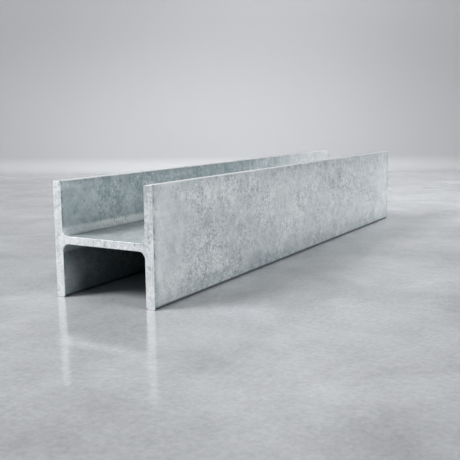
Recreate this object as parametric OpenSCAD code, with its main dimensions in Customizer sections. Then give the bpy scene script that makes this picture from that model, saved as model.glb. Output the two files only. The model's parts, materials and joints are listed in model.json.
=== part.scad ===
// Short length of hot-rolled wide-flange steel beam, lying on its flange toes with the web level.
// X runs along the beam, Y across the depth of the section and Z up, from toe to toe.
// The origin is on the floor, midway along the beam and midway between its flanges.

/* [Section] */
// Depth of the section over the outer faces of the flanges
section_d = 105.7; // [90:0.1:160]
// Width of a flange from toe to toe
flange_w = 103.1; // [80:0.1:160]
// Thickness of a flange
flange_t = 8.76; // [6:0.02:14]
// Thickness of the web
web_t = 7.11; // [4:0.01:12]
// Radius of the root fillet between the web and a flange
root_r = 6.35; // [3:0.05:12]

/* [Toes] */
// Radius of the rolled corner on the outer side of a toe
toe_outer_r = 1.2; // [0.8:0.1:2.4]
// Radius of the rolled corner on the inner side of a toe
toe_inner_r = 2.2; // [0.8:0.1:3]

/* [Length] */
// Length between the two sawn ends
beam_l = 620; // [200:1:3000]
// Break of the arris all round a sawn end
end_break = 0.5; // [0.1:0.05:0.5]

/* [Hidden] */
// Segments of every round
$fn = 96;
// How far a piece that is fused or cut reaches past the face that it starts from
reach = 0.2;
// Places in the section, from its centre: outer and inner face of a flange, toe, and face of the web
outer_y = section_d / 2;
inner_y = outer_y - flange_t;
toe_z = flange_w / 2;
web_z = web_t / 2;
// Centres of the three rounds of one quarter of the section
root_at = [inner_y - root_r, web_z + root_r];
toe_outer_at = [outer_y - toe_outer_r, toe_z - toe_outer_r];
toe_inner_at = [inner_y + toe_inner_r, toe_z - toe_inner_r];

// Copies one quarter of the section into all four
module four_quarters() {
    for (over_y = [0, 1], over_z = [0, 1]) mirror([over_y, 0, 0]) mirror([0, over_z, 0]) children();
}

// Stock left between two square sides and the arc that meets both, with the square corner at the origin
module corner_stock(r) {
    difference() {
        translate([-reach, -reach]) square(r + reach);
        translate([r, r]) circle(r);
    }
}

// Cross-section: two parallel flanges and the web, root fillets added, toe corners rounded off
module section() {
    difference() {
        union() {
            for (side = [-1, 1])
                translate([side * (inner_y + outer_y) / 2, 0]) square([flange_t, flange_w], center = true);
            square([2 * (inner_y + reach), web_t], center = true);
            four_quarters() translate([inner_y, web_z]) mirror([1, 0]) corner_stock(root_r);
        }
        four_quarters() translate([outer_y, toe_z]) rotate(180) corner_stock(toe_outer_r);
        four_quarters() translate([inner_y, toe_z]) mirror([0, 1]) corner_stock(toe_inner_r);
    }
}

// Triangle that breaks an edge at 45 degrees: x is out of the side face, y is out of the end
module break_profile() {
    far = end_break + reach;
    polygon([[-far, reach], [reach, -far], [reach, reach]]);
}

// Break along a straight edge from one point of the section to another, the open air on the left
module straight_break(from, to) {
    run = to - from;
    translate(from) rotate([90, 0, atan2(run[1], run[0]) + 90]) linear_extrude(norm(run)) break_profile();
}

// Break round a toe corner, a quarter turn from the given angle
module toe_break(at, r, start) {
    translate(at) rotate(start) rotate_extrude(angle = 90) translate([r, 0]) break_profile();
}

// Break along a root fillet, a cone that opens towards the end
module root_break(at, r) {
    translate([at[0], at[1], -end_break - reach])
        cylinder(h = end_break + 2 * reach, r1 = r - reach, r2 = r + end_break + reach);
}

// Everything that the break takes off one end, whose face is at z = 0
module end_breaks() {
    for (side = [0, 1]) {
        mirror([side, 0, 0])
            straight_break([outer_y, toe_outer_at[1]], [outer_y, -toe_outer_at[1]]);
        mirror([0, side, 0])
            straight_break([-root_at[0], web_z], [root_at[0], web_z]);
    }
    four_quarters() {
        toe_break(toe_outer_at, toe_outer_r, 0);
        straight_break([toe_inner_at[0], toe_z], [toe_outer_at[0], toe_z]);
        toe_break(toe_inner_at, toe_inner_r, 90);
        straight_break([inner_y, root_at[1]], [inner_y, toe_inner_at[1]]);
        root_break(root_at, root_r);
    }
}

// The beam, rolled and sawn in one piece
module beam() {
    color("#b4bcbf")
    translate([0, 0, toe_z])
    rotate([90, 0, 90])
    difference() {
        linear_extrude(beam_l, center = true) section();
        for (end = [0, 1]) mirror([0, 0, end]) translate([0, 0, beam_l / 2]) end_breaks();
    }
}

beam();
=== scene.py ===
import bmesh
import bpy
import json
import math
from mathutils import Matrix, Vector
from mathutils.geometry import delaunay_2d_cdt


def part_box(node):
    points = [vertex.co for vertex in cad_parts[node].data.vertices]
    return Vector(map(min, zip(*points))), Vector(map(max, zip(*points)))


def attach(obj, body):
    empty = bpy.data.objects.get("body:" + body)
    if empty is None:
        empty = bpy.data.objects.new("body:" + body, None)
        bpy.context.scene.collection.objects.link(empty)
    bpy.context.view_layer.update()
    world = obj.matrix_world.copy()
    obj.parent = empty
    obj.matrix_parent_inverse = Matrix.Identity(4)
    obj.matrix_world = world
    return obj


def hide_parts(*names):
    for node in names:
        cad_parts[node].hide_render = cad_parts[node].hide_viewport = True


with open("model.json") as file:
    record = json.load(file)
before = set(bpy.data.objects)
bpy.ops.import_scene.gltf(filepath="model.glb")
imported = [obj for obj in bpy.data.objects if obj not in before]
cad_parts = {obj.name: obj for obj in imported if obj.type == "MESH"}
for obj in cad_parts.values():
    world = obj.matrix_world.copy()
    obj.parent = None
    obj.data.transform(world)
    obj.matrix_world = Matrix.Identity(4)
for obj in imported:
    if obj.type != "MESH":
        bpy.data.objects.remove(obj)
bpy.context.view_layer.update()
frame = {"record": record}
scene = bpy.context.scene
mm = 0.001
quarterTurn = math.pi / 2


# small helpers for node trees, shared by the shape and the finishes

def addNode(tree, kind, feeds=None, **settings):
    node = tree.nodes.new(kind)
    for name, value in settings.items():
        setattr(node, name, value)
    for key, value in (feeds or {}).items():
        if isinstance(value, bpy.types.NodeSocket):
            tree.links.new(value, node.inputs[key])
        else:
            node.inputs[key].default_value = value
    return node


def calc(tree, operation, *values):
    return addNode(tree, "ShaderNodeMath", dict(enumerate(values)), operation=operation).outputs[0]


def chain(tree, operation, values):
    # the operation on the first two values, then on that result and the next value, and so on
    result = values[0]
    for value in values[1:]:
        result = calc(tree, operation, result, value)
    return result


def addUp(tree, *values):
    return chain(tree, "ADD", values)


def product(tree, *values):
    return chain(tree, "MULTIPLY", values)


def vectorCalc(tree, operation, *values):
    node = addNode(tree, "ShaderNodeVectorMath", dict(enumerate(values)), operation=operation)
    return node.outputs["Vector"]


def stretch(tree, vector, factor):
    node = addNode(tree, "ShaderNodeVectorMath", {0: vector, "Scale": factor}, operation="SCALE")
    return node.outputs["Vector"]


def distance(tree, first, second):
    node = addNode(tree, "ShaderNodeVectorMath", {0: first, 1: second}, operation="DISTANCE")
    return node.outputs["Value"]


def remap(tree, value, fromLow, fromHigh, toLow=0.0, toHigh=1.0, ease="LINEAR", clamp=True):
    feeds = {"Value": value, "From Min": fromLow, "From Max": fromHigh, "To Min": toLow, "To Max": toHigh}
    return addNode(tree, "ShaderNodeMapRange", feeds, interpolation_type=ease, clamp=clamp).outputs["Result"]


def fading(tree, away, reach, ease="LINEAR"):
    # full up to the reach's first distance, gone from its second, and its third number is how strong
    fullTo, goneFrom, strength = reach
    return remap(tree, away, fullTo, goneFrom, strength, 0.0, ease)


def mixColour(tree, share, first, second):
    return addNode(tree, "ShaderNodeMix", {0: share, 6: first, 7: second}, data_type="RGBA").outputs[2]


def cloud(tree, where, size, seed=0.0, detail=2.0, roughness=0.5, warp=0.0):
    # noise whose blobs are about size metres across
    scale = calc(tree, "DIVIDE", 1.0, size) if isinstance(size, bpy.types.NodeSocket) else 1 / size
    feeds = {"Vector": where, "W": seed, "Scale": scale, "Detail": detail,
             "Roughness": roughness, "Distortion": warp}
    return addNode(tree, "ShaderNodeTexNoise", feeds, noise_dimensions="4D").outputs[0]


def newFinish(name):
    material = bpy.data.materials.new(name)
    material.use_nodes = True
    material.node_tree.nodes.clear()
    return material, material.node_tree


# the beam: rolled section swept along X between two sawn ends

beam = {
    "flangeThickness": 8.76 * mm,
    "rootRadius": 6.35 * mm,
    "toeOuterRadius": 1.2 * mm,
    "toeInnerRadius": 2.2 * mm,
    "outlineStep": 1.5 * mm,      # spacing of points round the section
    "arcStep": 0.5 * mm,
    "leastArcSteps": 4,
    "capStep": 2.0 * mm,          # spacing of points inside an end face
    "capClear": 1.1 * mm,         # and how far they keep off the outline
    "ringStep": 4.2 * mm,         # mean spacing of the rings along the beam
    "ringEase": 0.55,             # how much closer they lie towards the ends, from 0 to 1
    "breakRings": 3,              # rings round each sawn arris
    "endBreak": 0.45 * mm,        # rounding of the arris
    "weldGap": 0.02 * mm,         # points closer than this become one
    "sawnFrom": 0.05 * mm,        # faces this far out on the arris are sawn
    "capFrom": 0.97,              # and past this share of the rounding they are the flat end
    "waveHeight": 0.16 * mm,
    "waveSize": 40 * mm,
    "lumpHeight": 0.06 * mm,
    "lumpSize": 10 * mm,
    "waveLevels": (0.2, 0.8),     # cloud levels of the lowest and the highest zinc
    "sawnRelief": 0.25,           # share of the waves and lumps that is left on a sawn end
    "nickDepth": 0.22 * mm,
    "nickSize": 5 * mm,
    "nickLevels": (0.56, 0.72),   # cloud levels where a nick begins and where it is full
    "nickFrom": 0.1 * mm,         # nicks lie at least this far out on the arris
    "dentPlace": (-34.0 * mm, 1.4 * mm),  # on the near end of the web, across and up from its middle
    "dentSize": 1.5 * mm,
    "dentDepth": 0.5 * mm,
    "dentRings": (0.5, 1.0),      # rings of points in the dent, in shares of its size
    "dentPoints": 8,              # points in each of them
    "dentClear": 0.55 * mm,       # the other points keep this far off the dent
    "lowLimit": (-10.0, -10.0, 0.0),  # no point goes under the floor; sideways this limits nothing
    "seed": 4.0,
}

low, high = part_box("beam")
mountAt = {mount["name"]: Vector(mount["pos_m"]) for mount in frame["record"]["mounts"]}
beamLength = high.x - low.x
# half sizes of the section, from the middle of the web
outerY = (high.y - low.y) / 2
innerY = outerY - beam["flangeThickness"]
toeZ = (high.z - low.z) / 2
webZ = (mountAt["web_face_top"].z - mountAt["web_face_under"].z) / 2
rootFoot = innerY - beam["rootRadius"]  # where a root fillet runs out on the web


def cornerArc(before, corner, after, radius):
    # points round one corner: place, outward direction and whether it is in a root
    arriving = (corner - before).normalized()
    leaving = (after - corner).normalized()
    turn = arriving.cross(leaving)  # 1 on a toe, -1 in a root
    centre = corner + (leaving - arriving) * radius
    steps = max(beam["leastArcSteps"], round(radius * quarterTurn / beam["arcStep"]))
    points = []
    for k in range(steps + 1):
        angle = quarterTurn * k / steps
        heading = arriving * math.cos(angle) + leaving * math.sin(angle)
        outward = Vector((heading.y, -heading.x))
        points.append((centre + outward * turn * radius, outward, turn < 0))
    return points


def roundedOutline(corners):
    # corners are (place, radius), anticlockwise; the straight stretches are filled with points too
    points = []
    for i, (corner, radius) in enumerate(corners):
        before = corners[i - 1][0]
        after = corners[(i + 1) % len(corners)][0]
        points += cornerArc(before, corner, after, radius)
    filled = []
    for i, (place, outward, inRoot) in enumerate(points):
        after = points[(i + 1) % len(points)][0]
        parts = max(1, round((after - place).length / beam["outlineStep"]))
        filled.append((place, outward, inRoot))
        for k in range(1, parts):
            filled.append((place.lerp(after, k / parts), outward, False))
    return filled


def sectionOutline():
    toeOuter, toeInner, root = beam["toeOuterRadius"], beam["toeInnerRadius"], beam["rootRadius"]
    quarter = [(outerY, toeZ, toeOuter), (innerY, toeZ, toeInner), (innerY, webZ, root)]
    mirrored = [(-y, z, r) for y, z, r in reversed(quarter)]
    half = quarter + mirrored
    other = [(-y, -z, r) for y, z, r in half]
    return roundedOutline([(Vector((y, z)), r) for y, z, r in half + other])


def dentPlaces():
    # closer points where the dent is
    dent = Vector(beam["dentPlace"])
    places = [dent]
    for ring in beam["dentRings"]:
        for k in range(beam["dentPoints"]):
            angle = 4 * quarterTurn / beam["dentPoints"] * k
            turned = Vector((math.cos(angle), math.sin(angle)))
            places.append(dent + turned * beam["dentSize"] * ring)
    return places


def insidePlaces():
    # staggered rows of points inside the flanges and the web, clear of the outline and the dent
    step, clear = beam["capStep"], beam["capClear"]
    dent = Vector(beam["dentPlace"])
    places = []
    rows = int(toeZ / step) + 1
    for row in range(-rows, rows + 1):
        z = row * step
        shift = step / 2 if row % 2 else 0.0
        for column in range(-rows, rows + 1):
            y = column * step + shift
            inFlange = innerY + clear < abs(y) < outerY - clear and abs(z) < toeZ - clear
            inWeb = abs(y) <= innerY + clear and abs(z) < webZ - clear
            offDent = (Vector((y, z)) - dent).length > beam["dentSize"] + beam["dentClear"]
            if (inFlange or inWeb) and offDent:
                places.append(Vector((y, z)))
    return places


def sectionMesh():
    # the sweep turns a profile's x and y to -Y and -Z, so the section is drawn half a turn round
    outline = sectionOutline()
    count = len(outline)
    places = [point[0] for point in outline] + dentPlaces() + insidePlaces()
    rim = [(i, (i + 1) % count) for i in range(count)]
    insideOnly, tolerance = 1, 1e-7
    found, _, faces, origin = delaunay_2d_cdt(places, rim, [], insideOnly, tolerance)[:4]
    mesh = bpy.data.meshes.new("section")
    mesh.from_pydata([(-p.x, -p.y, 0.0) for p in found], [], faces)
    mesh.attributes.new("outward", "FLOAT_VECTOR", "POINT")
    mesh.attributes.new("root", "FLOAT", "POINT")
    # looked up once both are there, as adding one moves the others
    away = mesh.attributes["outward"]
    root = mesh.attributes["root"]
    for i, sources in enumerate(origin):
        if sources and sources[0] < count:
            _, outward, inRoot = outline[sources[0]]
            away.data[i].vector = (0.0, *outward)
            root.data[i].value = float(inRoot)
    print("section drawn:", count, "points round it,", len(faces), "faces inside")
    return mesh


def movePoints(tree, geometry, **feeds):
    return addNode(tree, "GeometryNodeSetPosition", {"Geometry": geometry, **feeds}).outputs[0]


def store(tree, geometry, name, value, kind, domain):
    feeds = {"Geometry": geometry, "Name": name, "Value": value}
    return addNode(tree, "GeometryNodeStoreNamedAttribute", feeds, data_type=kind, domain=domain).outputs[0]


def stored(tree, name, kind):
    return addNode(tree, "GeometryNodeInputNamedAttribute", {"Name": name}, data_type=kind).outputs[0]


def ringPlaces(tree, given, flatHalf):
    # rings along the beam: closer towards the ends, and a few round each sawn arris
    lastRing = calc(tree, "SUBTRACT", given["Rings"], 1.0)
    lastFlat = calc(tree, "SUBTRACT", lastRing, given["Break Rings"])
    ring = addNode(tree, "GeometryNodeInputIndex").outputs[0]
    along = remap(tree, ring, given["Break Rings"], lastFlat, -1.0, 1.0)
    eased = calc(tree, "SINE", product(tree, along, quarterTurn))
    along = calc(tree, "MULTIPLY_ADD", calc(tree, "SUBTRACT", eased, along), beam["ringEase"], along)
    nearTurn = remap(tree, ring, 0.0, given["Break Rings"], quarterTurn, 0.0)
    farTurn = remap(tree, ring, lastFlat, lastRing, 0.0, quarterTurn)
    overhang = calc(tree, "SUBTRACT", calc(tree, "SINE", farTurn), calc(tree, "SINE", nearTurn))
    ringX = calc(tree, "MULTIPLY_ADD", overhang, given["End Break"], product(tree, along, flatHalf))
    return addNode(tree, "ShaderNodeCombineXYZ", {"X": ringX}).outputs[0]


def sweptSkin(tree, given, flatHalf):
    line = addNode(tree, "GeometryNodeMeshLine", {"Count": given["Rings"]})
    path = addNode(tree, "GeometryNodeMeshToCurve", {"Mesh": line.outputs[0]})
    rings = movePoints(tree, path.outputs[0], Position=ringPlaces(tree, given, flatHalf))
    # the rim is where an edge of the section has only one face
    neighbours = addNode(tree, "GeometryNodeInputMeshEdgeNeighbors")
    onRim = addNode(tree, "FunctionNodeCompare", {2: neighbours.outputs[0], 3: 1},
                    data_type="INT", operation="EQUAL")
    profile = addNode(tree, "GeometryNodeMeshToCurve", {
        "Mesh": given["Section"], "Selection": onRim.outputs[0]})
    skin = addNode(tree, "GeometryNodeCurveToMesh", {"Curve": rings, "Profile Curve": profile.outputs[0]})
    return skin.outputs[0]


def endFaces(tree, given, half):
    ends = []
    for side in (-1.0, 1.0):
        offset = addNode(tree, "ShaderNodeCombineXYZ", {"X": product(tree, half, side)})
        end = addNode(tree, "GeometryNodeTransform", {
            "Geometry": given["Section"], "Translation": offset.outputs[0],
            "Rotation": (-quarterTurn, 0.0, -quarterTurn)})
        if side < 0:
            end = addNode(tree, "GeometryNodeFlipFaces", {"Mesh": end.outputs[0]})
        ends.append(end.outputs[0])
    return ends


def closedSkin(tree, given, half, flatHalf):
    joined = addNode(tree, "GeometryNodeJoinGeometry")
    for part in [sweptSkin(tree, given, flatHalf), *endFaces(tree, given, half)]:
        tree.links.new(part, joined.inputs[0])
    feeds = {"Geometry": joined.outputs[0], "Distance": beam["weldGap"]}
    return addNode(tree, "GeometryNodeMergeByDistance", feeds).outputs[0]


def markEnds(tree, given, whole, place, past):
    # end faces and their arrises are sawn, and the dent has a mask of its own
    isSawn = calc(tree, "GREATER_THAN", past, beam["sawnFrom"])
    isCap = calc(tree, "GREATER_THAN", past, product(tree, given["End Break"], beam["capFrom"]))
    toDent = distance(tree, place, given["Dent Place"])
    dentMask = remap(tree, toDent, 0.0, given["Dent Size"], 1.0, 0.0, "SMOOTHSTEP")
    whole = store(tree, whole, "sawn", isSawn, "BOOLEAN", "FACE")
    whole = store(tree, whole, "cap", isCap, "BOOLEAN", "FACE")
    return store(tree, whole, "dent", dentMask, "FLOAT", "POINT")


def arrisPull(tree, given, past):
    # rounds the sawn arris by drawing its rings in
    radius = given["End Break"]
    squares = calc(tree, "SUBTRACT", calc(tree, "POWER", radius, 2.0), calc(tree, "POWER", past, 2.0))
    reach = calc(tree, "SQRT", calc(tree, "MAXIMUM", squares, 0.0))
    return stretch(tree, stored(tree, "outward", "FLOAT_VECTOR"), calc(tree, "SUBTRACT", reach, radius))


def zincRise(tree, given, place, past):
    # waves and lumps of the zinc, nicks on the arris and the dent
    waveCloud = cloud(tree, place, given["Wave Size"], given["Seed"])
    lumpCloud = cloud(tree, place, given["Lump Size"], given["Seed"])
    nickCloud = cloud(tree, place, given["Nick Size"], given["Seed"], detail=1.0)
    waves = product(tree, remap(tree, waveCloud, *beam["waveLevels"], -1.0, 1.0), given["Wave Height"])
    lumps = remap(tree, lumpCloud, *beam["waveLevels"], -1.0, 1.0)
    rise = calc(tree, "MULTIPLY_ADD", lumps, given["Lump Height"], waves)
    flat = remap(tree, past, 0.0, given["End Break"], 1.0, given["Sawn Relief"])
    onArris = calc(tree, "GREATER_THAN", past, beam["nickFrom"])
    nickFall = product(tree, remap(tree, nickCloud, *beam["nickLevels"]), onArris, given["Nick Depth"])
    dentFall = product(tree, stored(tree, "dent", "FLOAT"), given["Dent Depth"])
    return calc(tree, "SUBTRACT", product(tree, rise, flat), addUp(tree, nickFall, dentFall))


def seatOnToes(tree, given, whole, place):
    # lifted to stand on its toes, none of them under the floor
    lift = addNode(tree, "ShaderNodeCombineXYZ", {"Z": given["Middle Height"]})
    lifted = vectorCalc(tree, "ADD", place, lift.outputs[0])
    return movePoints(tree, whole, Position=vectorCalc(tree, "MAXIMUM", lifted, beam["lowLimit"]))


def dressSkin(tree, given, whole):
    # smooth all over apart from the flat ends, rolled zinc all over apart from what is sawn
    smooth = addNode(tree, "GeometryNodeSetShadeSmooth", {"Geometry": whole})
    flatEnds = addNode(tree, "GeometryNodeSetShadeSmooth", {
        "Geometry": smooth.outputs[0], "Selection": stored(tree, "cap", "BOOLEAN"), "Shade Smooth": False})
    real = addNode(tree, "GeometryNodeRealizeInstances", {"Geometry": flatEnds.outputs[0]})
    rolled = addNode(tree, "GeometryNodeSetMaterial", {
        "Geometry": real.outputs[0], "Material": given["Rolled Finish"]})
    dressed = addNode(tree, "GeometryNodeSetMaterial", {
        "Geometry": rolled.outputs[0], "Selection": stored(tree, "sawn", "BOOLEAN"),
        "Material": given["Sawn Finish"]})
    return dressed.outputs[0]


def sweepTree(plugs):
    tree = bpy.data.node_groups.new("rolledBeam", "GeometryNodeTree")
    for name, (kind, _) in plugs.items():
        tree.interface.new_socket(name=name, in_out="INPUT", socket_type="NodeSocket" + kind)
    tree.interface.new_socket(name="Beam", in_out="OUTPUT", socket_type="NodeSocketGeometry")
    given = tree.nodes.new("NodeGroupInput").outputs
    half = product(tree, given["Length"], 0.5)
    flatHalf = calc(tree, "SUBTRACT", half, given["End Break"])
    whole = closedSkin(tree, given, half, flatHalf)
    place = addNode(tree, "GeometryNodeInputPosition").outputs[0]
    along = addNode(tree, "ShaderNodeSeparateXYZ", {0: place}).outputs["X"]
    # how far out a point is on an arris: none on the rolled faces, all of the end break on an end
    past = calc(tree, "SUBTRACT", calc(tree, "ABSOLUTE", along), flatHalf)
    past = calc(tree, "MAXIMUM", past, 0.0)
    whole = markEnds(tree, given, whole, place, past)
    whole = movePoints(tree, whole, Offset=arrisPull(tree, given, past))
    normal = addNode(tree, "GeometryNodeInputNormal").outputs[0]
    whole = movePoints(tree, whole, Offset=stretch(tree, normal, zincRise(tree, given, place, past)))
    whole = seatOnToes(tree, given, whole, place)
    addNode(tree, "NodeGroupOutput", {0: dressSkin(tree, given, whole)})
    return tree


# zinc finishes, on the rolled faces and on the sawn ends

cloudSpan = (0.3, 0.7)   # nearly all of a cloud lies between these levels
toneSpan = (0.2, 0.8)    # roughness follows the tone between these

# how each kind of cloud is drawn: step of the seed, detail, roughness, warp
cloudKinds = {
    "clouds": (0.0, 2.0, 0.5, 0.5),
    "blotches": (5.0, 4.0, 0.6, 0.8),
    "flecks": (9.0, 3.0, 0.6, 0.4),
    "streaks": (13.0, 3.0, 0.6, 0.0),
    "grain": (17.0, 2.0, 0.65, 0.0),
    "patches": (19.0, 3.0, 0.55, 0.0),
    "spangle": (23.0, 2.0, 0.5, 0.0),
    "wisps": (29.0, 3.0, 0.55, 0.6),
    "pits": (31.0, 1.0, 0.5, 0.0),
    "arrisPatches": (37.0, 2.0, 0.5, 0.0),
    "blooms": (41.0, 5.0, 0.6, 1.0),
    "rootPatches": (43.0, 3.0, 0.5, 0.0),
    "farPatches": (47.0, 2.0, 0.5, 0.0),
    "mottle": (0.0, 6.0, 0.7, 0.4),
    "speckle": (5.0, 3.0, 0.7, 0.0),
}

zincPattern = {  # the same on rolled and sawn faces
    "middleTone": 0.5,
    "patchLevels": (0.40, 0.62),   # cloud levels between which a patch comes in
    "patchShare": (0.35, 1.25),    # how strong flecks, grain and wisps are off a patch and on it
    "bloomLevels": (0.55, 0.66),
    "pitLevels": (0.64, 0.74),
    "wispLevel": 0.5,
    "wispWidth": 0.035,            # cloud levels on either side
    "wanderSize": 0.6,             # borders of the crystals wander, in shares of a crystal's size
    "wanderReach": 0.8,
}

rolledZinc = {
    "tones": [(0.0, (0.27, 0.335, 0.355)), (0.40, (0.50, 0.555, 0.575)),
              (0.66, (0.645, 0.685, 0.70)), (1.0, (0.80, 0.82, 0.825))],
    "metallic": 0.6,
    "rough": (0.35, 0.46),           # on dark tones and on pale ones
    "relief": 0.10 * mm,
    "reliefShare": 0.5,
    "seed": 3.0,
    # layers of the tone: size of the blobs, and how far they move it
    "clouds": (70 * mm, 0.12),
    "blotches": (16 * mm, 0.18),
    "flecks": (5 * mm, 0.19),
    "grain": (1.8 * mm, 0.42),
    "spangle": (8 * mm, 0.05),
    "streaks": (4 * mm, 0.06),
    "blooms": (24 * mm, 0.15),
    "wisps": (9 * mm, 0.22),
    "pits": (2.4 * mm, 0.36),
    "cloudRun": (2.2, 1.0, 1.0),     # clouds are drawn out along the beam
    "streakRun": (14.0, 1.0, 1.0),   # streaks follow the rolling direction
    "wispRun": (1.0, 1.0, 2.4),      # wisps run down the faces
    # flecks, grain and wisps come and go in patches, and are fainter in some places
    "patchSize": 50 * mm,
    "calmEnd": (22 * mm, 55 * mm, 0.45),     # from an end: faint up to, full from, and how faint
    "insideCalm": 0.7,
    "webCalm": 0.8,
    # where the faces part
    "outerFrom": 0.5 * mm,           # outer faces begin this far out past the inner ones
    "webTo": 0.9 * mm,               # the web ends this far up a root fillet
    "innerFrom": 2.0 * mm,           # inner faces begin this far up it
    # shifts of the tone: those with three numbers are full up to, gone from, and how far
    # painted light: outer faces are made paler all over, in place of light from the side
    "paintedOuterLight": 0.09,
    "endTone": (22 * mm, 66 * mm, 0.14),     # outer faces are paler near the ends
    "edgeTone": (0.5 * mm, 7 * mm, -0.24),   # but duller along the sawn edges
    "brimTone": (2 * mm, 19 * mm, -0.14),    # and under the upper toes
    "paintedInsideShade": -0.34,                    # painted shade: inner faces are dark
    "paintedEndLight": (0.0, 110 * mm, 0.18),      # painted light: less so near the open ends
    "paintedFarLight": 0.25,                        # painted light: pale towards the far end
    "farReach": (-30 * mm, 210 * mm),        # which comes in between these places along the beam
    "farPatches": (22 * mm, 50 * mm),        # with a ragged border: size, and how far it strays
    "paintedWebLight": 0.20,                        # painted light: the web is pale
    "paintedFlangeShadow": -0.22,                      # painted shadow: but dark along one root fillet, where the flange beside it shades the web
    "webReach": 24 * mm,                     # coming in over this width
    "paintedUnderShade": (0.0, 22 * mm, -0.45),      # painted shade: dark under the web
    "paintedFloorShade": (2 * mm, 26 * mm, -0.27),   # and low down: painted shade, the floor's contact shadow mirrored in the zinc
    "toeTopBand": (0.2 * mm, 0.6 * mm, 1.0),     # painted highlight: the top faces of the upper toes are pale
    "paintedToeHighlight": (0.50, 0.10),                # by this much at the near end and at the far end
    "toeReach": (-120 * mm, 40 * mm),        # changing between these places along the beam
    # pale, slightly warm patches in the root fillets: painted light where the fillets face up, and dull zinc
    # there too
    "rootColour": (0.76, 0.785, 0.77),
    "rootPatch": 22 * mm,
    "rootLevels": (0.38, 0.60),      # cloud levels of thin patches and of thick ones
    "rootShare": (0.5, 1.1),         # and how much these cover
    "rootSpeckle": (0.20, 0.95),     # cover on the darkest grain and on the palest
    "rootEnd": (60 * mm, 0.55),      # fades over this length to this share at the ends
    "rootMetallic": 0.35,
    "rootRough": 0.15,               # added to the roughness
    # dark lines, painted contact shadow along the floor, painted shade at the foot of the root fillets and
    # dark patches beside the arris: full up to, gone from, and how strong
    "darkLineColour": (0.06, 0.08, 0.09),
    "paintedContactShadow": (1.5 * mm, 3.3 * mm, 1.0),
    "paintedRootShade": (0.3 * mm, 2.6 * mm, 0.65),
    "arrisLine": (1.0 * mm, 3.0 * mm, 0.62),
    "arrisPatch": 5 * mm,            # the line beside the arris comes and goes over this size
    "arrisLevels": (0.42, 0.58),
}

sawnZinc = {
    "tones": [(0.0, (0.40, 0.44, 0.455)), (0.40, (0.64, 0.67, 0.683)),
              (0.66, (0.745, 0.765, 0.775)), (1.0, (0.85, 0.86, 0.867))],
    "metallic": 0.4,
    "rough": (0.52, 0.64),
    "relief": 0.10 * mm,
    "reliefShare": 0.5,
    "seed": 8.0,
    "clouds": (30 * mm, 0.12),
    "blotches": (9 * mm, 0.20),
    "flecks": (3.5 * mm, 0.20),
    "grain": (1.4 * mm, 0.26),
    "spangle": (6 * mm, 0.03),
    "streaks": (1.6 * mm, 0.14),
    "blooms": (14 * mm, 0.06),
    "wisps": (7 * mm, 0.06),
    "pits": (2.2 * mm, 0.12),
    "cloudRun": (1.0, 1.0, 1.0),
    "streakRun": (1.0, 1.0, 12.0),   # saw lines run down the cut
    "wispRun": (1.0, 1.0, 1.0),
    "patchSize": 20 * mm,
    "greyPlace": (-48 * mm, 88 * mm),        # a greyer patch on the near end, across and up
    "greyTone": (15 * mm, 55 * mm, -0.30),   # full up to, gone from, and how far
    # the arris is worn and dull, and painted darker as shade, so it doesn't shine as a bright line
    "arrisReach": (0.05 * mm, 0.2 * mm),     # in from the end: begins, and is full
    "arrisWearAndShade": -0.65,
    "arrisMetallic": 0.0,
    "arrisRough": 0.35,              # added to the roughness
    "dentShift": -0.40,
}


def beamPlaces(tree):
    # where a point lies on the beam, from Object coordinates
    where = addNode(tree, "ShaderNodeTexCoord").outputs["Object"]
    split = addNode(tree, "ShaderNodeSeparateXYZ", {0: where}).outputs
    along, across, height = split["X"], split["Y"], split["Z"]
    return {
        "where": where,
        "along": along,
        "across": across,
        "height": height,
        "fromEnd": calc(tree, "SUBTRACT", beamLength / 2, calc(tree, "ABSOLUTE", along)),
        "sideways": calc(tree, "ABSOLUTE", across),
        "fromMiddle": calc(tree, "ABSOLUTE", calc(tree, "SUBTRACT", height, toeZ)),
        "fromTop": calc(tree, "SUBTRACT", 2 * toeZ, height),
    }


def drawCloud(tree, where, look, kind, size):
    seedStep, detail, roughness, warp = cloudKinds[kind]
    return cloud(tree, where, size, look["seed"] + seedStep, detail, roughness, warp)


def layer(tree, where, look, kind):
    # moves a tone both ways by about the layer's share
    size, share = look[kind]
    return remap(tree, drawCloud(tree, where, look, kind, size), *cloudSpan, -share, share, clamp=False)


def spangleTone(tree, where, look):
    # crystals of even tone with wandering borders
    size, share = look["spangle"]
    wander = drawCloud(tree, where, look, "spangle", size * zincPattern["wanderSize"])
    shifted = vectorCalc(tree, "ADD", where, stretch(tree, wander, size * zincPattern["wanderReach"]))
    crystals = addNode(tree, "ShaderNodeTexVoronoi", {"Vector": shifted, "Scale": 1 / size})
    crystalTone = addNode(tree, "ShaderNodeSeparateColor", {0: crystals.outputs["Color"]}).outputs[0]
    return remap(tree, crystalTone, 0.0, 1.0, -share, share)


def wispTone(tree, where, look):
    # thin pale lines where a cloud crosses its middle level
    size, share = look["wisps"]
    drawnOut = vectorCalc(tree, "DIVIDE", where, look["wispRun"])
    level = drawCloud(tree, drawnOut, look, "wisps", size)
    offLevel = calc(tree, "ABSOLUTE", calc(tree, "SUBTRACT", level, zincPattern["wispLevel"]))
    return remap(tree, offLevel, 0.0, zincPattern["wispWidth"], share, 0.0)


def bloomTone(tree, where, look):
    # pale patches with ragged borders
    size, share = look["blooms"]
    ragged = drawCloud(tree, where, look, "blooms", size)
    return remap(tree, ragged, *zincPattern["bloomLevels"], 0.0, share)


def pitTone(tree, where, look):
    size, share = look["pits"]
    spots = drawCloud(tree, where, look, "pits", size)
    return remap(tree, spots, *zincPattern["pitLevels"], 0.0, -share)


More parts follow.
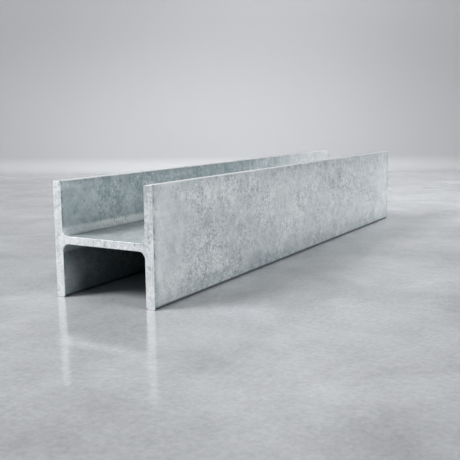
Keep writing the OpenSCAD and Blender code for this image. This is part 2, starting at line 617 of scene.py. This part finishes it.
def zincTone(tree, where, look, calm=1.0):
    # gives the fine part alone, which also makes the relief, and then the whole tone
    patches = drawCloud(tree, where, look, "patches", look["patchSize"])
    busy = product(tree, remap(tree, patches, *zincPattern["patchLevels"], *zincPattern["patchShare"]), calm)
    flecks = layer(tree, where, look, "flecks")
    grain = layer(tree, where, look, "grain")
    patchy = product(tree, addUp(tree, flecks, grain, wispTone(tree, where, look)), busy)
    streaks = layer(tree, vectorCalc(tree, "DIVIDE", where, look["streakRun"]), look, "streaks")
    fine = addUp(tree, patchy, streaks, pitTone(tree, where, look), zincPattern["middleTone"])
    clouds = layer(tree, vectorCalc(tree, "DIVIDE", where, look["cloudRun"]), look, "clouds")
    blotches = layer(tree, where, look, "blotches")
    broad = addUp(tree, clouds, blotches, spangleTone(tree, where, look), bloomTone(tree, where, look))
    return fine, addUp(tree, fine, broad)


def toneColour(tree, tone, tones):
    ramp = addNode(tree, "ShaderNodeValToRGB", {0: tone})
    stops = ramp.color_ramp.elements
    for place, _ in tones[1:-1]:  # a new ramp has only its two end stops
        stops.new(place)
    for stop, (place, colour) in zip(stops, tones):
        stop.position = place
        stop.color = (*colour, 1.0)
    return ramp.outputs["Color"]


def zincShader(tree, look, colour, metallic, rough, height):
    bump = addNode(tree, "ShaderNodeBump", {
        "Strength": look["reliefShare"], "Distance": look["relief"], "Height": height})
    shader = addNode(tree, "ShaderNodeBsdfPrincipled", {
        "Base Color": colour, "Metallic": metallic, "Roughness": rough, "Normal": bump.outputs["Normal"]})
    addNode(tree, "ShaderNodeOutputMaterial", {"Surface": shader.outputs["BSDF"]})


def rolledParts(tree, at, look):
    # how far a point is on the outer faces, on the inner faces or on the web
    onOuter = calc(tree, "GREATER_THAN", at["sideways"], innerY + look["outerFrom"])
    offOuter = calc(tree, "SUBTRACT", 1.0, onOuter)
    offWeb = remap(tree, at["fromMiddle"], webZ + look["innerFrom"], webZ + beam["rootRadius"])
    nearWeb = calc(tree, "LESS_THAN", at["fromMiddle"], webZ + look["webTo"])
    return {
        "outer": onOuter,
        "offOuter": offOuter,
        "inner": product(tree, offOuter, offWeb),
        "web": product(tree, offOuter, nearWeb),
    }


def calmShare(tree, at, on, look):
    # how strong flecks, grain and wisps are from place to place
    faintTo, fullFrom, share = look["calmEnd"]
    nearEnd = remap(tree, at["fromEnd"], faintTo, fullFrom, share, 1.0, "SMOOTHSTEP")
    inside = remap(tree, on["inner"], 0.0, 1.0, 1.0, look["insideCalm"])
    web = remap(tree, on["web"], 0.0, 1.0, 1.0, look["webCalm"])
    return product(tree, inside, web, nearEnd)


def outerToneAndLight(tree, at, look):
    # outer faces: paler near the ends, duller along the sawn edges and under the upper toes, and painted
    # light all over
    nearEnd = fading(tree, at["fromEnd"], look["endTone"], "SMOOTHSTEP")
    nearEdge = fading(tree, at["fromEnd"], look["edgeTone"])
    brim = fading(tree, at["fromTop"], look["brimTone"])
    return addUp(tree, nearEnd, nearEdge, brim, look["paintedOuterLight"])


def insideShadeAndLight(tree, at, look):
    # painted shade on the inner faces, giving way to painted light towards the far end and near both ends
    ragged = addUp(tree, at["along"], layer(tree, at["where"], look, "farPatches"))
    inside = remap(tree, ragged, *look["farReach"], look["paintedInsideShade"], look["paintedFarLight"], "SMOOTHSTEP")
    return addUp(tree, inside, fading(tree, at["fromEnd"], look["paintedEndLight"]))


def webLightAndShadow(tree, at, look):
    # painted light on the web, turning to a painted shadow of the flange beside the +Y root fillet
    reach = (rootFoot - look["webReach"], rootFoot)
    return remap(tree, at["across"], *reach, look["paintedWebLight"], look["paintedFlangeShadow"])


def paintedUnderShade(tree, at, look):
    # painted shade under the web, which stops at the middle of the web
    belowWeb = calc(tree, "SUBTRACT", toeZ - webZ, at["height"])
    lowerHalf = calc(tree, "LESS_THAN", at["height"], toeZ)
    return product(tree, lowerHalf, fading(tree, belowWeb, look["paintedUnderShade"]))


def toeHighlight(tree, at, look):
    # painted highlight along the top of the upper toes
    onToeTop = fading(tree, at["fromTop"], look["toeTopBand"])
    return product(tree, onToeTop, remap(tree, at["along"], *look["toeReach"], *look["paintedToeHighlight"]))


def toneShifts(tree, at, on, look):
    # broad differences in tone from place to place on the rolled faces, most of them painted light and shade
    return [
        product(tree, on["outer"], outerToneAndLight(tree, at, look)),
        product(tree, on["inner"], insideShadeAndLight(tree, at, look)),
        product(tree, on["web"], webLightAndShadow(tree, at, look)),
        product(tree, on["offOuter"], paintedUnderShade(tree, at, look)),
        fading(tree, at["height"], look["paintedFloorShade"], "SMOOTHSTEP"),
        toeHighlight(tree, at, look),
    ]


def rootCover(tree, at, root, fine, look):
    # how much of the pale colour, painted light and dull zinc, lies in the root fillets
    patches = drawCloud(tree, at["where"], look, "rootPatches", look["rootPatch"])
    speckled = remap(tree, fine, *cloudSpan, *look["rootSpeckle"])
    patchy = product(tree, speckled, remap(tree, patches, *look["rootLevels"], *look["rootShare"]))
    fadeLength, endShare = look["rootEnd"]
    paintedPool = remap(tree, at["fromEnd"], 0.0, fadeLength, endShare, 1.0)
    return product(tree, root, paintedPool, patchy)


def shadeAndArrisLines(tree, at, on, look):
    # painted contact shadow along the floor, painted shade at the foot of the root fillets, and dark patches
    # beside the arris
    fromFoot = calc(tree, "ABSOLUTE", calc(tree, "SUBTRACT", at["sideways"], rootFoot))
    paintedRootShade = product(tree, fading(tree, fromFoot, look["paintedRootShade"]), on["web"])
    arrisCloud = drawCloud(tree, at["where"], look, "arrisPatches", look["arrisPatch"])
    arrisLine = fading(tree, at["fromEnd"], look["arrisLine"])
    arrisLine = product(tree, arrisLine, remap(tree, arrisCloud, *look["arrisLevels"]))
    paintedContactShadow = fading(tree, at["height"], look["paintedContactShadow"])
    return chain(tree, "MAXIMUM", [arrisLine, paintedRootShade, paintedContactShadow])


def makeRolledZinc(look):
    material, tree = newFinish("rolledZinc")
    at = beamPlaces(tree)
    on = rolledParts(tree, at, look)
    fine, tone = zincTone(tree, at["where"], look, calmShare(tree, at, on, look))
    tone = addUp(tree, tone, *toneShifts(tree, at, on, look))
    root = addNode(tree, "ShaderNodeAttribute", attribute_name="root").outputs["Fac"]
    cover = rootCover(tree, at, root, fine, look)
    colour = mixColour(tree, cover, toneColour(tree, tone, look["tones"]), (*look["rootColour"], 1.0))
    colour = mixColour(tree, shadeAndArrisLines(tree, at, on, look), colour, (*look["darkLineColour"], 1.0))
    metallic = remap(tree, root, 0.0, 1.0, look["metallic"], look["rootMetallic"])
    rough = remap(tree, tone, *toneSpan, *look["rough"])
    rough = calc(tree, "MULTIPLY_ADD", root, look["rootRough"], rough)
    zincShader(tree, look, colour, metallic, rough, fine)
    return material


def makeSawnZinc(look):
    material, tree = newFinish("sawnZinc")
    at = beamPlaces(tree)
    fine, tone = zincTone(tree, at["where"], look)
    onArris = remap(tree, at["fromEnd"], *look["arrisReach"])
    wornAndShaded = product(tree, onArris, look["arrisWearAndShade"])
    across, up = look["greyPlace"]
    fromGrey = distance(tree, at["where"], (-beamLength / 2, across, up))
    grey = fading(tree, fromGrey, look["greyTone"], "SMOOTHSTEP")
    dent = addNode(tree, "ShaderNodeAttribute", attribute_name="dent").outputs["Fac"]
    tone = addUp(tree, tone, wornAndShaded, grey, product(tree, dent, look["dentShift"]))
    metallic = remap(tree, onArris, 0.0, 1.0, look["metallic"], look["arrisMetallic"])
    rough = remap(tree, tone, *toneSpan, *look["rough"])
    rough = calc(tree, "MULTIPLY_ADD", onArris, look["arrisRough"], rough)
    zincShader(tree, look, toneColour(tree, tone, look["tones"]), metallic, rough, fine)
    return material


rolledFinish = makeRolledZinc(rolledZinc)
sawnFinish = makeSawnZinc(sawnZinc)
print("zinc finishes made")


# the beam, made and dressed

def beamPlugs():
    # inputs of the sweep: kind and value
    across, up = beam["dentPlace"]
    return {
        "Section": ("Geometry", None),  # the section's own mesh
        "Length": ("Float", beamLength),
        "Middle Height": ("Float", toeZ),
        "Rings": ("Int", round(beamLength / beam["ringStep"])),
        "Break Rings": ("Int", beam["breakRings"]),
        "End Break": ("Float", beam["endBreak"]),
        "Wave Height": ("Float", beam["waveHeight"]),
        "Wave Size": ("Float", beam["waveSize"]),
        "Lump Height": ("Float", beam["lumpHeight"]),
        "Lump Size": ("Float", beam["lumpSize"]),
        "Sawn Relief": ("Float", beam["sawnRelief"]),
        "Nick Depth": ("Float", beam["nickDepth"]),
        "Nick Size": ("Float", beam["nickSize"]),
        "Dent Place": ("Vector", (-beamLength / 2, across, up)),
        "Dent Size": ("Float", beam["dentSize"]),
        "Dent Depth": ("Float", beam["dentDepth"]),
        "Seed": ("Float", beam["seed"]),
        "Rolled Finish": ("Material", rolledFinish),
        "Sawn Finish": ("Material", sawnFinish),
    }


def sweepSection():
    # runs the sweep once and keeps its mesh
    maker = bpy.data.objects.new("beamMaker", sectionMesh())
    scene.collection.objects.link(maker)
    plugs = beamPlugs()
    tree = sweepTree(plugs)
    modifier = maker.modifiers.new("rolledBeam", "NODES")
    modifier.node_group = tree
    for socket in tree.interface.items_tree:
        _, value = plugs.get(socket.name, (None, None))
        if value is not None:
            modifier[socket.identifier] = value
    depsgraph = bpy.context.evaluated_depsgraph_get()
    mesh = bpy.data.meshes.new_from_object(maker.evaluated_get(depsgraph), depsgraph=depsgraph)
    mesh.name = "zincBeam"
    maker.modifiers.remove(modifier)
    bpy.data.objects.remove(maker)
    return mesh


def sortFinishes(mesh):
    # the sweep leaves an empty slot, so the two finishes are put in slots of their own
    finishes = [rolledFinish, sawnFinish]
    slots = [finishes.index(mesh.materials[face.material_index]) for face in mesh.polygons]
    mesh.materials.clear()
    for finish in finishes:
        mesh.materials.append(finish)
    mesh.polygons.foreach_set("material_index", slots)


def turnFacesOut(mesh):
    # gives the number of open edges, which should be none
    skin = bmesh.new()
    skin.from_mesh(mesh)
    bmesh.ops.recalc_face_normals(skin, faces=skin.faces)
    openEdges = sum(1 for edge in skin.edges if not edge.is_manifold)
    skin.to_mesh(mesh)
    skin.free()
    return openEdges


def makeBeam():
    mesh = sweepSection()
    sortFinishes(mesh)
    openEdges = turnFacesOut(mesh)
    piece = bpy.data.objects.new("zincBeam", mesh)
    scene.collection.objects.link(piece)
    triangles = sum(len(face.vertices) - 2 for face in mesh.polygons)
    print("beam swept:", len(mesh.polygons), "faces,", triangles, "triangles,", openEdges, "open edges,",
          [material.name for material in mesh.materials])
    return piece


zincBeam = makeBeam()
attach(zincBeam, "root")
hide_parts("beam")


# floor and backdrop, in metres

studio = {
    "floorHalf": 6.0,
    "wallDistance": 1.25,   # from the middle of the beam, straight behind it as the camera looks
    "wallHeight": 3.0,
    "sweepRadius": 0.045,   # where the floor turns up into the wall
    "sweepParts": 8,
}

floorLook = {
    "colour": (0.376, 0.386, 0.399),
    "rough": 0.13,
    "shine": 1.75,              # index of refraction
    "mottle": (0.12, 0.25),     # size, and how strong
    "speckle": (0.004, 0.12),
    "seed": 4.7,
    "paintedPoolFade": 0.24,               # painted pool of light: darkens by this share away from the middle of the view
    "fadeCentre": (0.1, 0.0, 0.0),
    "fadeReach": (0.30, 0.80),
    "fadeSquash": 1.0,
}

wallLook = {
    "colour": (0.353, 0.359, 0.370),
    "rough": 0.7,
    "shine": 1.45,
    "mottle": (0.25, 0.01),
    "speckle": (0.02, 0.005),
    "seed": 2.0,
    # painted pool of light on the wall, darker away from its centre
    "paintedPoolFade": 0.33,
    "fadeCentre": (1.0, 0.77, 0.05),
    "fadeReach": (0.10, 1.2),
    "fadeSquash": 2.7,          # the fade is this much quicker upwards
}

view = {
    "place": (-0.77966, -0.39011, 0.15570),
    "heading": 29.528,   # degrees from +X towards +Y
    "pitch": 8.815,      # degrees down
    "roll": -0.451,
    "lens": 56.53,
    "sensor": 36.0,
}


def plainFinish(name, look):
    material, tree = newFinish(name)
    where = addNode(tree, "ShaderNodeTexCoord").outputs["Object"]
    mottle = layer(tree, where, look, "mottle")
    speckle = layer(tree, where, look, "speckle")
    # a painted pool of light: darker away from its centre
    fromCentre = vectorCalc(tree, "SUBTRACT", where, look["fadeCentre"])
    squashed = vectorCalc(tree, "MULTIPLY", fromCentre, (1.0, 1.0, look["fadeSquash"]))
    away = distance(tree, squashed, (0.0, 0.0, 0.0))
    paintedPool = remap(tree, away, *look["fadeReach"], 1.0, 1 - look["paintedPoolFade"], "SMOOTHSTEP")
    bright = product(tree, paintedPool, addUp(tree, 1.0, mottle, speckle))
    colour = stretch(tree, look["colour"], bright)
    shader = addNode(tree, "ShaderNodeBsdfPrincipled", {
        "Base Color": colour, "Roughness": look["rough"], "IOR": look["shine"]})
    addNode(tree, "ShaderNodeOutputMaterial", {"Surface": shader.outputs["BSDF"]})
    return material


def stageRows():
    # reach and height of each row of points, from the front of the floor to the top of the wall
    radius = studio["sweepRadius"]
    sweepStart = studio["wallDistance"] - radius
    rows = [(-studio["floorHalf"], 0.0)]
    for k in range(studio["sweepParts"] + 1):
        angle = quarterTurn * k / studio["sweepParts"]
        rows.append((sweepStart + radius * math.sin(angle), radius - radius * math.cos(angle)))
    rows.append((studio["wallDistance"], studio["wallHeight"]))
    return rows


def makeStage():
    # floor that turns up into a wall, square to the camera's heading
    heading = math.radians(view["heading"])
    away = Vector((math.cos(heading), math.sin(heading), 0.0))
    across = Vector((-away.y, away.x, 0.0))
    rows = stageRows()
    vertices = [away * reach + across * side * studio["floorHalf"] + Vector((0.0, 0.0, height))
                for reach, height in rows for side in (-1, 1)]
    faces = [(2 * i, 2 * i + 2, 2 * i + 3, 2 * i + 1) for i in range(len(rows) - 1)]
    mesh = bpy.data.meshes.new("studioFloor")
    mesh.from_pydata(vertices, [], faces)
    mesh.materials.append(plainFinish("paleFloor", floorLook))
    mesh.materials.append(plainFinish("paleWall", wallLook))
    for i, face in enumerate(mesh.polygons):
        face.use_smooth = True
        face.material_index = 0 if i == 0 else 1  # the first face is the floor
    floor = bpy.data.objects.new("studioFloor", mesh)
    scene.collection.objects.link(floor)


makeStage()
print("floor laid")


# camera at the photograph's angle

def makeCamera():
    data = bpy.data.cameras.new("camera")
    data.lens = view["lens"]
    data.sensor_width = view["sensor"]
    camera = bpy.data.objects.new("camera", data)
    turn = (Matrix.Rotation(math.radians(view["heading"] - 90), 4, "Z")
            @ Matrix.Rotation(math.radians(90 - view["pitch"]), 4, "X")
            @ Matrix.Rotation(math.radians(view["roll"]), 4, "Z"))
    camera.matrix_world = Matrix.Translation(view["place"]) @ turn
    scene.collection.objects.link(camera)
    scene.camera = camera


makeCamera()


# soft studio light

lamps = {
    "key": {"place": (-1.6, 1.3, 1.8), "aim": (0.0, 0.0, 0.05),
            "size": 1.0, "spread": 180, "power": 90.0},
    "fill": {"place": (-0.4, -2.2, 1.0), "aim": (0.0, 0.0, 0.05),
             "size": 1.2, "spread": 180, "power": 52.0},
    "farPool": {"place": (1.1, -1.0, 0.9), "aim": (0.9, -0.45, 0.0),
                "size": 0.6, "spread": 60, "power": 5.5},
    "wallGlow": {"place": (0.6, 0.15, 1.3), "aim": (1.07, 0.65, 0.2),
                 "size": 0.6, "spread": 100, "power": 6.0},
}
world = {"colour": (0.97, 0.99, 1.0), "strength": 0.13}


def makeLights():
    for name, lamp in lamps.items():
        data = bpy.data.lights.new(name, "AREA")
        data.shape = "SQUARE"
        data.size = lamp["size"]
        data.spread = math.radians(lamp["spread"])
        data.energy = lamp["power"]
        light = bpy.data.objects.new(name, data)
        light.location = lamp["place"]
        light.rotation_euler = (Vector(lamp["aim"]) - light.location).to_track_quat("-Z", "Y").to_euler()
        scene.collection.objects.link(light)
    sky = bpy.data.worlds.new("studio")
    sky.use_nodes = True
    backdrop = sky.node_tree.nodes["Background"]
    backdrop.inputs["Color"].default_value = (*world["colour"], 1.0)
    backdrop.inputs["Strength"].default_value = world["strength"]
    scene.world = sky


makeLights()
scene.view_settings.view_transform = "Standard"
print("camera and lights set")
